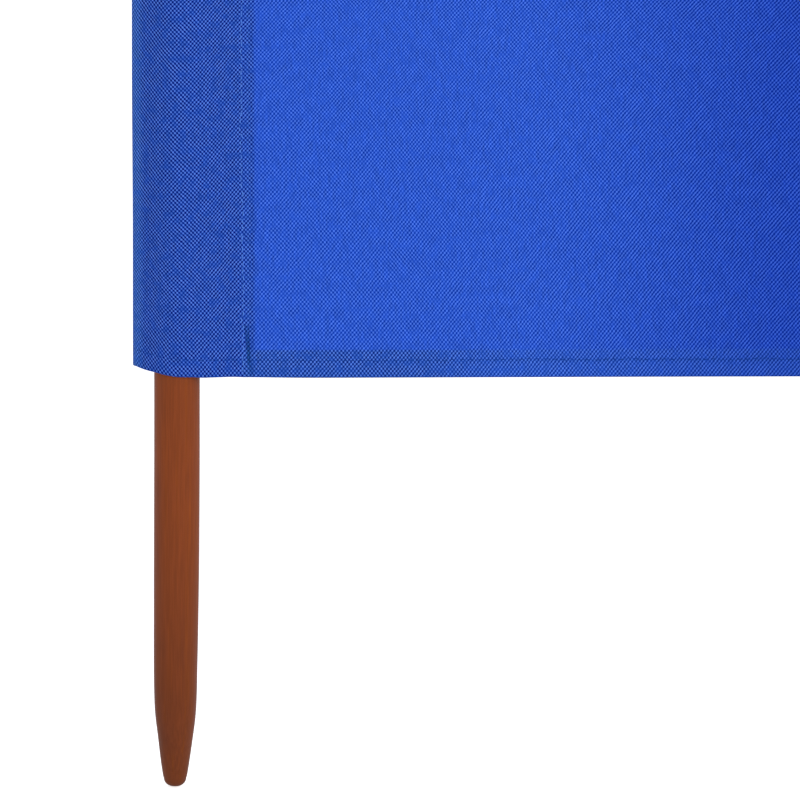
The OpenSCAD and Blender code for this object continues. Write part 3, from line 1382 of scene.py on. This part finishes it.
    def build_hem_thread(self, edge: Edge, finishes: Finishes) -> bpy.types.Object:
        """Sews the hem, front and back.

        Args:
            edge: Which edge of the cloth.
            finishes: The materials.

        Returns:
            The stitching's piece.
        """
        rng = np.random.default_rng(100 * self.number + (1 if edge is Edge.BOTTOM else 2))
        x = np.linspace(self.left + 1.0, self.right - 1.0, 240)
        off = self.make.stitch_line + 0.25 * np.sin(0.021 * x + self.number)
        z = self.make.level(edge, off)
        y, _ = self.surface(x, z)
        everywhere = np.ones(x.shape, bool)
        past_sleeves = self.beside(x) > self.make.allowance + 1.0
        on_front = 0.5 * CLOTH_THICK + 0.02
        on_hem = 0.5 * CLOTH_THICK + self.pressed_gap + 0.02
        stitches = StitchSet()
        for face, rise, shown in ((Face.FRONT, on_front, everywhere), (Face.BACK, on_hem, past_sleeves)):
            path = np.stack([x, y + face.value * rise, z + self.edge_lift(x, z)], axis=1)[shown]
            out = np.tile([0.0, face.value, 0.0], (len(path), 1))
            stitches.along(path, out, self.make.hem_pitch, self.hem_stitch, rng)
        piece = stitches.build(f"hem_{edge.value}_stitching_{self.number}")
        return finish_piece(piece, finishes.hem, "cloth_double")

    def build_tacks(self, finishes: Finishes) -> bpy.types.Object:
        """Sews the bar tacks at the feet and heads of the seams.

        Args:
            finishes: The materials.

        Returns:
            The tacks' piece.
        """
        rng = np.random.default_rng(700 + self.number)
        stitches = StitchSet(thread=self.tack_thread)
        on_front = 0.5 * CLOTH_THICK
        for tack in self.tacks():
            line = smooth_line([tuple(p) for p in tack.line()], self.tack_pitch)
            taper = np.linspace(1.0, 0.15, len(line))
            for inner, outer in ((-1.35, -0.10), (0.85, 1.20)):
                ends = []
                for off, climb in ((inner, -0.2), (outer, 0.2)):
                    spread = off * (taper if off < 0.0 else 1.0) * rng.uniform(0.9, 1.1, len(line))
                    x, z = line[:, 0] + tack.turn.value * spread, line[:, 1] + climb
                    y, _ = self.surface(x, z)
                    ends.append(np.stack([x, y - on_front, z + self.edge_lift(x, z)], axis=1))
                stitches.add(*ends, np.tile([0.0, Face.FRONT.value, 0.0], (len(line), 1)))
        return finish_piece(stitches.build(f"bar_tacks_{self.number}"), finishes.tack, "cloth_double")

    def build(self, finishes: Finishes) -> None:
        """Makes the whole bay.

        Args:
            finishes: The materials.
        """
        panel = self.build_panel(finishes)
        with_panel = [self.build_tacks(finishes)]
        for edge in Edge:
            hem = self.build_hem(edge, finishes)
            thread = self.build_hem_thread(edge, finishes)
            with_panel += [hem, thread]


# --------------------------------------------------------------------------------------------
# Sleeves
# --------------------------------------------------------------------------------------------


@dataclass
class SleeveSheet:
    """A sheet that runs up a stake with the same section all the way, hemmed at both ends.

    Lift and sway say how far each place of the section moves upwards and across at each height. The crease is
    where the folded edge lies, if the sheet has one.
    """

    name: str
    section: np.ndarray
    run_start: float
    run_sign: float
    make: ClothMake
    centre_x: float
    lift: Warp
    sway: Warp
    mirror: float = 1.0
    crease: float | None = None

    def outward(self) -> np.ndarray:
        """Directions out of the sleeve.

        Returns:
            A direction of length 1 for each point of the section.
        """
        step = np.gradient(self.section, axis=0)
        step = step / np.linalg.norm(step, axis=1, keepdims=True)
        return np.stack([-step[:, 1], step[:, 0]], axis=1)

    def rows(self) -> np.ndarray:
        """Rows of points from the lower hem to the upper one, both folded inwards.

        Returns:
            How far in from the outer layer, and at what height, each row lies.
        """
        gap = self.make.fold_gap
        folded_in = [(gap, off) for off in (self.make.hem, 11.0, 7.0, 3.0, 1.0)]
        foot = np.concatenate([folded_in, self.make.bend(180.0, 0.0, 9)])
        foot_rows = np.stack([foot[:, 0], self.make.level(Edge.BOTTOM, foot[:, 1])], axis=1)
        head_rows = np.stack([foot[:, 0], self.make.level(Edge.TOP, foot[:, 1])], axis=1)[::-1]
        middle = self.make.levels()[1:-1]
        return np.concatenate([foot_rows, np.stack([np.zeros(len(middle)), middle], axis=1), head_rows])

    def placed(self, columns: np.ndarray, inset: np.ndarray, z: np.ndarray) -> np.ndarray:
        """Points on the sheet.

        Args:
            columns: Index of each point's place in the section.
            inset: How far it lies inside the outer layer.
            z: Its height before the edges are drawn in.

        Returns:
            Points in millimetres.
        """
        p, out = self.section[columns], self.outward()[columns]
        push = CLOTH_THICK * self.make.hem_zone(z) * hump(p[..., 0], 15.0) - inset
        moved = p + out * push[..., None] + self.sway(p, z)
        x, height = self.centre_x + self.mirror * moved[..., 0], z + self.lift(p, z)
        return np.stack([x, moved[..., 1], height], axis=-1)

    def build(self, finishes: Finishes, *nodes: str) -> bpy.types.Object:
        """Makes and dresses the sheet.

        Args:
            finishes: The materials.
            *nodes: CAD nodes that it stands for.

        Returns:
            The sheet's piece.
        """
        rows = self.rows()
        column, row = np.meshgrid(np.arange(len(self.section)), np.arange(len(rows)))
        z, place = rows[row, 1], self.section[column][..., 0]
        points = self.placed(column, rows[row, 0], z)
        middle = len(rows) // 2
        flat_z = run_length(rows)
        flat_z = flat_z - flat_z[middle] + rows[middle, 1]
        u = self.run_start + self.run_sign * run_length(self.section)[column]
        run = np.stack([self.centre_x + self.mirror * u, flat_z[row]], axis=2)
        # Painted light: the diagonals of the net look lit differently on each side of the stake, where the
        # sleeve turns away.
        slant = self.mirror * (0.36 * smoothstep(-26.0, 26.0, place) - 0.26)
        # Painted shade under the folded edges at both ends.
        dark = 0.40 * hump(self.make.edge_off(z), 0.8)
        sheen_and_paling = np.zeros(u.shape)
        # Painted sheen: the band along the fold is lightened as if it caught the light at a grazing angle.
        if self.crease is not None:
            sheen_and_paling = ease_down(self.crease + 2.0, self.crease + 7.5, place)
        grid = ClothGrid(points, run, np.ones(u.shape), dark, slant, sheen_and_paling)
        if self.mirror < 0.0:
            grid = grid.turned(1)
        return finish_piece(grid.build(self.name), finishes.cloth, "cloth_double", *nodes)

    def flat_size(self) -> Point2:
        """Width and length of the sheet before it is folded, in metres."""
        return float(run_length(self.section)[-1]) * MM, float(run_length(self.rows())[-1]) * MM


@dataclass
class EndSleeve:
    """The sleeve at an end of the row: the sheet folded back round the stake and sewn down.

    Its section runs from the front of the seam round the stake to the raw edge behind. The fold's lift is
    pairs of a place and how far the slack cloth is drawn up there.
    """

    number: int
    axis_x: float
    turn: Turn
    make: ClothMake
    seam: float = 36.0
    fold: float = -24.3
    section: tuple[Point2, ...] = (
        (36.0, -4.3), (31.0, -5.0), (26.0, -6.5), (20.0, -8.5), (12.0, -11.1), (6.0, -12.6), (1.6, -13.1),
        (-2.8, -12.85), (-6.1, -11.9), (-9.4, -10.4), (-12.7, -8.5), (-16.0, -6.6), (-19.5, -4.4),
        (-22.0, -2.4), (-23.5, -0.6), (-24.3, 1.1), (-23.6, 2.8), (-21.8, 4.6), (-16.0, 8.4), (-9.0, 11.6),
        (-2.0, 13.1), (5.0, 12.7), (12.0, 10.2), (20.0, 5.6), (27.0, 0.9), (33.0, -2.6), (36.0, -3.6),
        (39.5, -3.62), (43.0, -3.35),
    )
    fold_lift: tuple[Point2, ...] = (
        (-24.8, 7.3), (-23.7, 6.5), (-20.4, 5.8), (-17.0, 5.2), (-13.8, 4.9), (-10.5, 4.6), (-7.2, 4.05),
        (-3.9, 3.65), (-0.6, 3.2), (4.4, 2.95), (9.3, 2.75), (12.6, 2.1), (16.0, 1.75), (19.0, 1.6),
        (22.5, 1.35), (29.0, 1.0), (36.0, 0.55),
    )

    def lift(self, p: np.ndarray, z: np.ndarray) -> np.ndarray:
        """How far the fold pulls the bottom edge up and the top edge down.

        Args:
            p: Places in the section.
            z: Heights.

        Returns:
            The distances, + upwards.
        """
        behind = smoothstep(0.0, 6.0, p[..., 1] + 2.0)
        raised = np.interp(p[..., 0], *zip(*self.fold_lift)) * (1.0 - 0.25 * behind)
        near_low = ease_down(0.0, 110.0, z - self.make.low)
        near_high = ease_down(0.0, 110.0, self.make.high - z)
        return raised * near_low - 0.5 * raised * near_high

    def sway(self, p: np.ndarray, z: np.ndarray) -> np.ndarray:
        """Small waves of the slack cloth away from the seam, and room for the hem's layers behind it.

        Args:
            p: Places in the section.
            z: Heights.

        Returns:
            How far each place moves along and across the row.
        """
        along, across = p[..., 0], p[..., 1]
        crease = ease_down(-24.5, -14.0, along)
        x = crease * (0.24 + 0.10 * np.cos((z - self.make.low) / 95.0) + 0.08 * np.sin(z / 23.0))
        waves = 0.32 * np.sin(z / 61.0 + along / 9.0) + 0.2 * np.sin(z / 31.0 - along / 13.0)
        outwards = np.sign(across + 0.001) * np.abs(ease_down(6.0, 30.0, along) * waves)
        behind = smoothstep(20.0, 32.0, along) * smoothstep(-4.0, -3.9, across)
        return np.stack([x, outwards + behind * self.make.hem_bulk * self.make.hem_zone(z)], axis=-1)

    def sheet(self) -> SleeveSheet:
        """Lays out the folded sheet.

        Returns:
            The sheet, from the front of the seam round the stake to its raw edge behind.
        """
        return SleeveSheet(
            name=f"sleeve_cloth_{self.number}",
            section=smooth_line(self.section, step=1.5),
            run_start=self.seam,
            run_sign=-1.0,
            make=self.make,
            centre_x=self.axis_x,
            lift=self.lift,
            sway=self.sway,
            mirror=self.turn.value,
            crease=self.fold,
        )

    def build(self, finishes: Finishes) -> None:
        """Makes the sleeve and its stitching.

        Args:
            finishes: The materials.
        """
        sheet = self.sheet()
        piece = sheet.build(finishes, f"sleeve_{self.number}")
        threads = sew_sleeve(self.number, [(sheet, 0)], [sheet], self.make, finishes)
        sheet.flat_size()


@dataclass
class InnerSleeve:
    """A sleeve along the row: the sheet runs on in front and a strip is sewn on behind the stake.

    The halves are the right halves of both sections, from the stake outwards.
    """

    number: int
    axis_x: float
    make: ClothMake
    front_half: tuple[Point2, ...] = (
        (0.0, -13.2), (5.6, -12.65), (11.4, -11.1), (19.0, -8.5), (24.6, -6.5), (29.3, -5.0), (34.0, -4.3),
    )
    strip_half: tuple[Point2, ...] = (
        (0.0, 13.25), (5.0, 12.75), (11.4, 10.2), (19.0, 5.6), (25.6, 0.9), (31.2, -2.6), (34.0, -3.6),
        (37.5, -3.62), (41.0, -3.35),
    )

    def lift(self, p: np.ndarray, z: np.ndarray) -> np.ndarray:
        """How far the seams pull both edges in, most over the stake."""
        return self.make.drawn_in(z) * (1.0 + 0.6 * hump(p[..., 0], 14.0))

    def sway(self, face: Face, p: np.ndarray, z: np.ndarray) -> np.ndarray:
        """Small waves of the slack cloth between the seams, and room for the hem's layers behind it.

        Args:
            face: Whether it is the front sheet or the strip behind.
            p: Places in the section.
            z: Heights.

        Returns:
            How far each place moves along and across the row.
        """
        along, seed = p[..., 0], 1.3 * self.number
        slack = ease_down(6.0, 28.0, np.abs(along))
        wave = np.abs(0.3 * np.sin(z / 57.0 + along / 9.0 + seed) + 0.2 * np.sin(z / 29.0 + seed))
        y = face.value * slack * wave
        if face is Face.BACK:
            y = y + smoothstep(18.0, 30.0, np.abs(along)) * self.make.hem_bulk * self.make.hem_zone(z)
        return np.stack([np.zeros(y.shape), y], axis=-1)

    def sheet(self, face: Face) -> SleeveSheet:
        """The front sheet or the strip behind.

        Args:
            face: Which of the two.

        Returns:
            The sheet, its section running so that it looks outwards.
        """
        behind = face is Face.BACK
        half = list(self.strip_half if behind else self.front_half)
        whole = [(-x, y) for x, y in half[:0:-1]] + half
        section = smooth_line(whole if behind else whole[::-1], step=1.7)
        return SleeveSheet(
            name=f"sleeve_{'strip' if behind else 'cloth'}_{self.number}",
            section=section,
            run_start=section[0, 0],
            run_sign=face.value,
            make=self.make,
            centre_x=self.axis_x,
            lift=self.lift,
            sway=partial(self.sway, face),
        )

    def build(self, finishes: Finishes) -> None:
        """Args:
            finishes: The materials.
        """
        front, back = self.sheet(Face.FRONT), self.sheet(Face.BACK)
        piece = front.build(finishes, f"sleeve_{self.number}")
        strip = back.build(finishes)
        ends = [(front, 0), (front, len(front.section) - 1)]
        threads = sew_sleeve(self.number, ends, [front, back], self.make, finishes)
        front.flat_size()
        back.flat_size()


@dataclass
class SeamStitching:
    """The long rows of stitches that close a sleeve, front and back, and wander a little as they climb."""

    name: str
    ends: list[tuple[SleeveSheet, int]]
    make: ClothMake
    thread: float = 0.46
    inset: float = 0.3
    wander: float = 0.5
    wander_length: float = 210.0
    front_off: float = 0.23
    back_off: float = 0.91

    def line(self, sheet: SleeveSheet, index: int, z: np.ndarray) -> np.ndarray:
        """Middle of a seam on its sheet.

        Args:
            sheet: The sheet that is sewn.
            index: Which point of its section the seam runs up.
            z: Heights.

        Returns:
            Points in millimetres.
        """
        seam = sheet.placed(np.full(len(z), index), np.zeros(len(z)), z)
        turn = FULL_TURN * (z - self.make.low - 47.0) / self.wander_length + 0.004 * sheet.centre_x + 8.0
        seam[:, 0] += self.inset * np.sign(sheet.centre_x - seam[:, 0])
        seam[:, 0] += 0.05 + self.wander * np.cos(turn)
        return seam

    def build(self, finishes: Finishes) -> bpy.types.Object:
        """Sews the rows and dresses them.

        Args:
            finishes: The materials.

        Returns:
            The stitching's piece.
        """
        rng = steady_rng(self.name)
        stitches = StitchSet(thread=self.thread)
        z = np.linspace(self.make.low + 1.2, self.make.high - 1.2, 160)
        behind = self.back_off + self.make.hem_bulk * self.make.hem_zone(z)
        for sheet, index in self.ends:
            seam = self.line(sheet, index, z)
            for face, off in ((Face.FRONT, self.front_off), (Face.BACK, behind)):
                path = seam.copy()
                path[:, 1] += face.value * off
                out = np.tile([0.0, face.value, 0.0], (len(z), 1))
                stitches.along(path, out, self.make.seam_pitch, self.make.seam_stitch, rng)
        return finish_piece(stitches.build(self.name), finishes.seam, "cloth_double")


@dataclass
class SleeveHemStitching:
    """The hem's rows of stitches where they run on over a sleeve."""

    name: str
    sheets: list[SleeveSheet]
    make: ClothMake
    stitch: float = 3.3
    off_cloth: float = 0.22

    def build(self, finishes: Finishes) -> bpy.types.Object:
        """Sews the rows and dresses them.

        Args:
            finishes: The materials.

        Returns:
            The stitching's piece.
        """
        rng = steady_rng(self.name)
        stitches = StitchSet()
        for sheet in self.sheets:
            columns = np.arange(1, len(sheet.section) - 1)
            out = sheet.outward()[columns] * np.array([sheet.mirror, 1.0])
            out = np.concatenate([out, np.zeros((len(columns), 1))], axis=1)
            for edge in Edge:
                z = np.full(len(columns), self.make.level(edge, self.make.stitch_line))
                path = sheet.placed(columns, np.zeros(len(columns)), z) + out * self.off_cloth
                stitches.along(path, out, self.make.hem_pitch, self.stitch, rng)
        return finish_piece(stitches.build(self.name), finishes.hem, "cloth_double")


def sew_sleeve(
    number: int,
    ends: list[tuple[SleeveSheet, int]],
    sheets: list[SleeveSheet],
    make: ClothMake,
    finishes: Finishes,
) -> list[bpy.types.Object]:
    """Sews a sleeve's seams and then its hems.

    Args:
        number: Number of the sleeve.
        ends: Sheets and the points of their sections that seams run up.
        sheets: Sheets with a hem at both ends.
        make: How the cloth is sewn.
        finishes: The materials.

    Returns:
        Both pieces of stitching.
    """
    seams = SeamStitching(f"seam_stitching_{number}", ends, make).build(finishes)
    hems = SleeveHemStitching(f"sleeve_hem_stitching_{number}", sheets, make).build(finishes)
    return [seams, hems]


# --------------------------------------------------------------------------------------------
# Studio
# --------------------------------------------------------------------------------------------


@dataclass(frozen=True)
class SoftLamp:
    """A soft square lamp that looks at the middle of the row and is hidden from the camera."""

    name: str
    place: Place
    size: float
    power: float
    aim_share: float = 0.3
    aim_height: float = 0.6

    def hang(self) -> None:
        """Puts the lamp in the scene."""
        data = bpy.data.lights.new(self.name, "AREA")
        data.shape = "SQUARE"
        data.size = self.size
        data.energy = self.power
        made = bpy.data.objects.new(self.name, data)
        bpy.context.scene.collection.objects.link(made)
        made.location = self.place
        aim = Vector((self.place[0] * self.aim_share, 0.0, self.aim_height)) - Vector(self.place)
        made.rotation_mode = "QUATERNION"
        made.rotation_quaternion = aim.to_track_quat("-Z", "Y")
        made.visible_camera = False


@dataclass
class Studio:
    """The plain pale floor, the soft light and the camera, with lengths in metres."""

    aim: Place = (-1.87795, 0.0, 0.21936)
    distance: float = 12.0
    elevation: float = 15.0
    lens: float = 986.4
    sensor: float = 36.0
    sight: Point2 = (0.1, 400.0)
    world_light: float = 0.62
    backdrop: float = 1.2
    floor_glow: float = 0.42
    floor_seen: float = 0.35
    floor_size: float = 400.0
    floor_z: float = -0.0006
    floor_tones: tuple[Colour, Colour] = ((0.80, 0.80, 0.80), (0.83, 0.83, 0.83))
    key: SoftLamp = SoftLamp("key", (2.2, -6.5, 4.6), 4.0, 260.0)
    back: SoftLamp = SoftLamp("back", (-2.0, 6.5, 4.0), 4.0, 90.0)

    def camera(self) -> None:
        """Sets the camera on the lower corner of the first bay."""
        data = bpy.data.cameras.new("camera")
        data.lens = self.lens
        data.sensor_width = self.sensor
        data.clip_start, data.clip_end = self.sight
        made = bpy.data.objects.new("camera", data)
        bpy.context.scene.collection.objects.link(made)
        e = math.radians(self.elevation)
        back = Vector((0.0, -math.cos(e), math.sin(e)))
        made.location = Vector(self.aim) + back * self.distance
        made.rotation_mode = "QUATERNION"
        made.rotation_quaternion = (-back).to_track_quat("-Z", "Y")
        bpy.context.scene.camera = made

    def floor(self) -> None:
        """Lays the pale floor just under the stakes' tips."""
        half, steps = 0.5 * self.floor_size, 9
        at = np.linspace(-half, half, steps)
        x, y = np.meshgrid(at, at)
        points = np.stack([x, y, np.full(x.shape, self.floor_z)], axis=2).reshape(-1, 3)
        made = add_mesh("studio_floor", points, grid_faces(steps, steps).tolist())
        desk, shader, material = new_material("pale floor")
        cloud = desk.mottle(desk.place(), scale=3.0, detail=3.0)
        values = {
            "Base Color": desk.blend(cloud, *self.floor_tones),
            "Roughness": 0.9,
            "Specular IOR Level": 0.0,
            "Emission Color": (1.0, 1.0, 1.0),
            "Emission Strength": self.floor_glow,
        }
        desk.fill(shader, values)
        plain = desk.add("ShaderNodeEmission", {"Strength": self.floor_seen})
        both = desk.add("ShaderNodeAddShader", {0: shader.outputs[0], 1: plain.outputs[0]})
        seen = desk.add("ShaderNodeLightPath").outputs["Is Camera Ray"]
        split = desk.add("ShaderNodeMixShader", {0: seen, 1: shader.outputs[0], 2: both.outputs[0]})
        output = next(n for n in material.node_tree.nodes if n.type == "OUTPUT_MATERIAL")
        desk.feed(output.inputs["Surface"], split.outputs[0])
        made.data.materials.append(material)

    def world(self) -> None:
        """Surrounds the row with even white light."""
        world = bpy.data.worlds.new("white surround")
        bpy.context.scene.world = world
        world.use_nodes = True
        world.node_tree.nodes.clear()
        desk = NodeDesk(world.node_tree)
        seen = desk.add("ShaderNodeLightPath").outputs["Is Camera Ray"]
        light = desk.add("ShaderNodeBackground", {"Strength": self.world_light})
        plain = desk.add("ShaderNodeBackground", {"Strength": self.backdrop})
        both = desk.add("ShaderNodeMixShader", {0: seen, 1: light.outputs[0], 2: plain.outputs[0]})
        desk.add("ShaderNodeOutputWorld", {"Surface": both.outputs[0]})

    def build(self) -> None:
        """Sets up the whole studio."""
        self.camera()
        self.floor()
        self.world()
        self.key.hang()
        self.back.hang()
        bpy.context.scene.view_settings.view_transform = "Standard"


# --------------------------------------------------------------------------------------------
# The row
# --------------------------------------------------------------------------------------------


def box_in_mm(node: str) -> list[list[float]]:
    """The low and high corners of a CAD piece's box, in millimetres."""
    return [[v / MM for v in corner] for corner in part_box(node)]


def main() -> None:
    """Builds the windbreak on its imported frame."""
    logging.basicConfig(level=logging.INFO, format="%(name)s: %(message)s", stream=sys.stdout)
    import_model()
    stakes = [box_in_mm(f"stake_{number}") for number in range(1, STAKE_COUNT + 1)]
    panels = [box_in_mm(f"panel_{number}") for number in range(1, STAKE_COUNT)]
    first_low, first_high = panels[0]
    make = ClothMake(low=round(first_low[2], 3), high=round(first_high[2], 3))
    Studio().build()
    finishes = Finishes()
    axes = [0.5 * (low[0] + high[0]) for low, high in stakes]
    for number, heading in enumerate(LEAN_HEADINGS, start=1):
        _, high = stakes[number - 1]
        WoodenStake(number, axes[number - 1], high[2], heading).build(finishes)
    EndSleeve(1, axes[0], Turn.RIGHT, make).build(finishes)
    for number in range(2, STAKE_COUNT):
        InnerSleeve(number, axes[number - 1], make).build(finishes)
    EndSleeve(STAKE_COUNT, axes[-1], Turn.LEFT, make).build(finishes)
    for number, (low, high) in enumerate(panels, start=1):
        calm = FIRST_CALM if number == 1 else OTHER_CALM
        drape = BayDrape(low[0], high[0], make, seed=0.9 * number, calm=calm)
        BayCloth(number, low[0], high[0], make, drape).build(finishes)


if __name__ == "__main__":
    main()
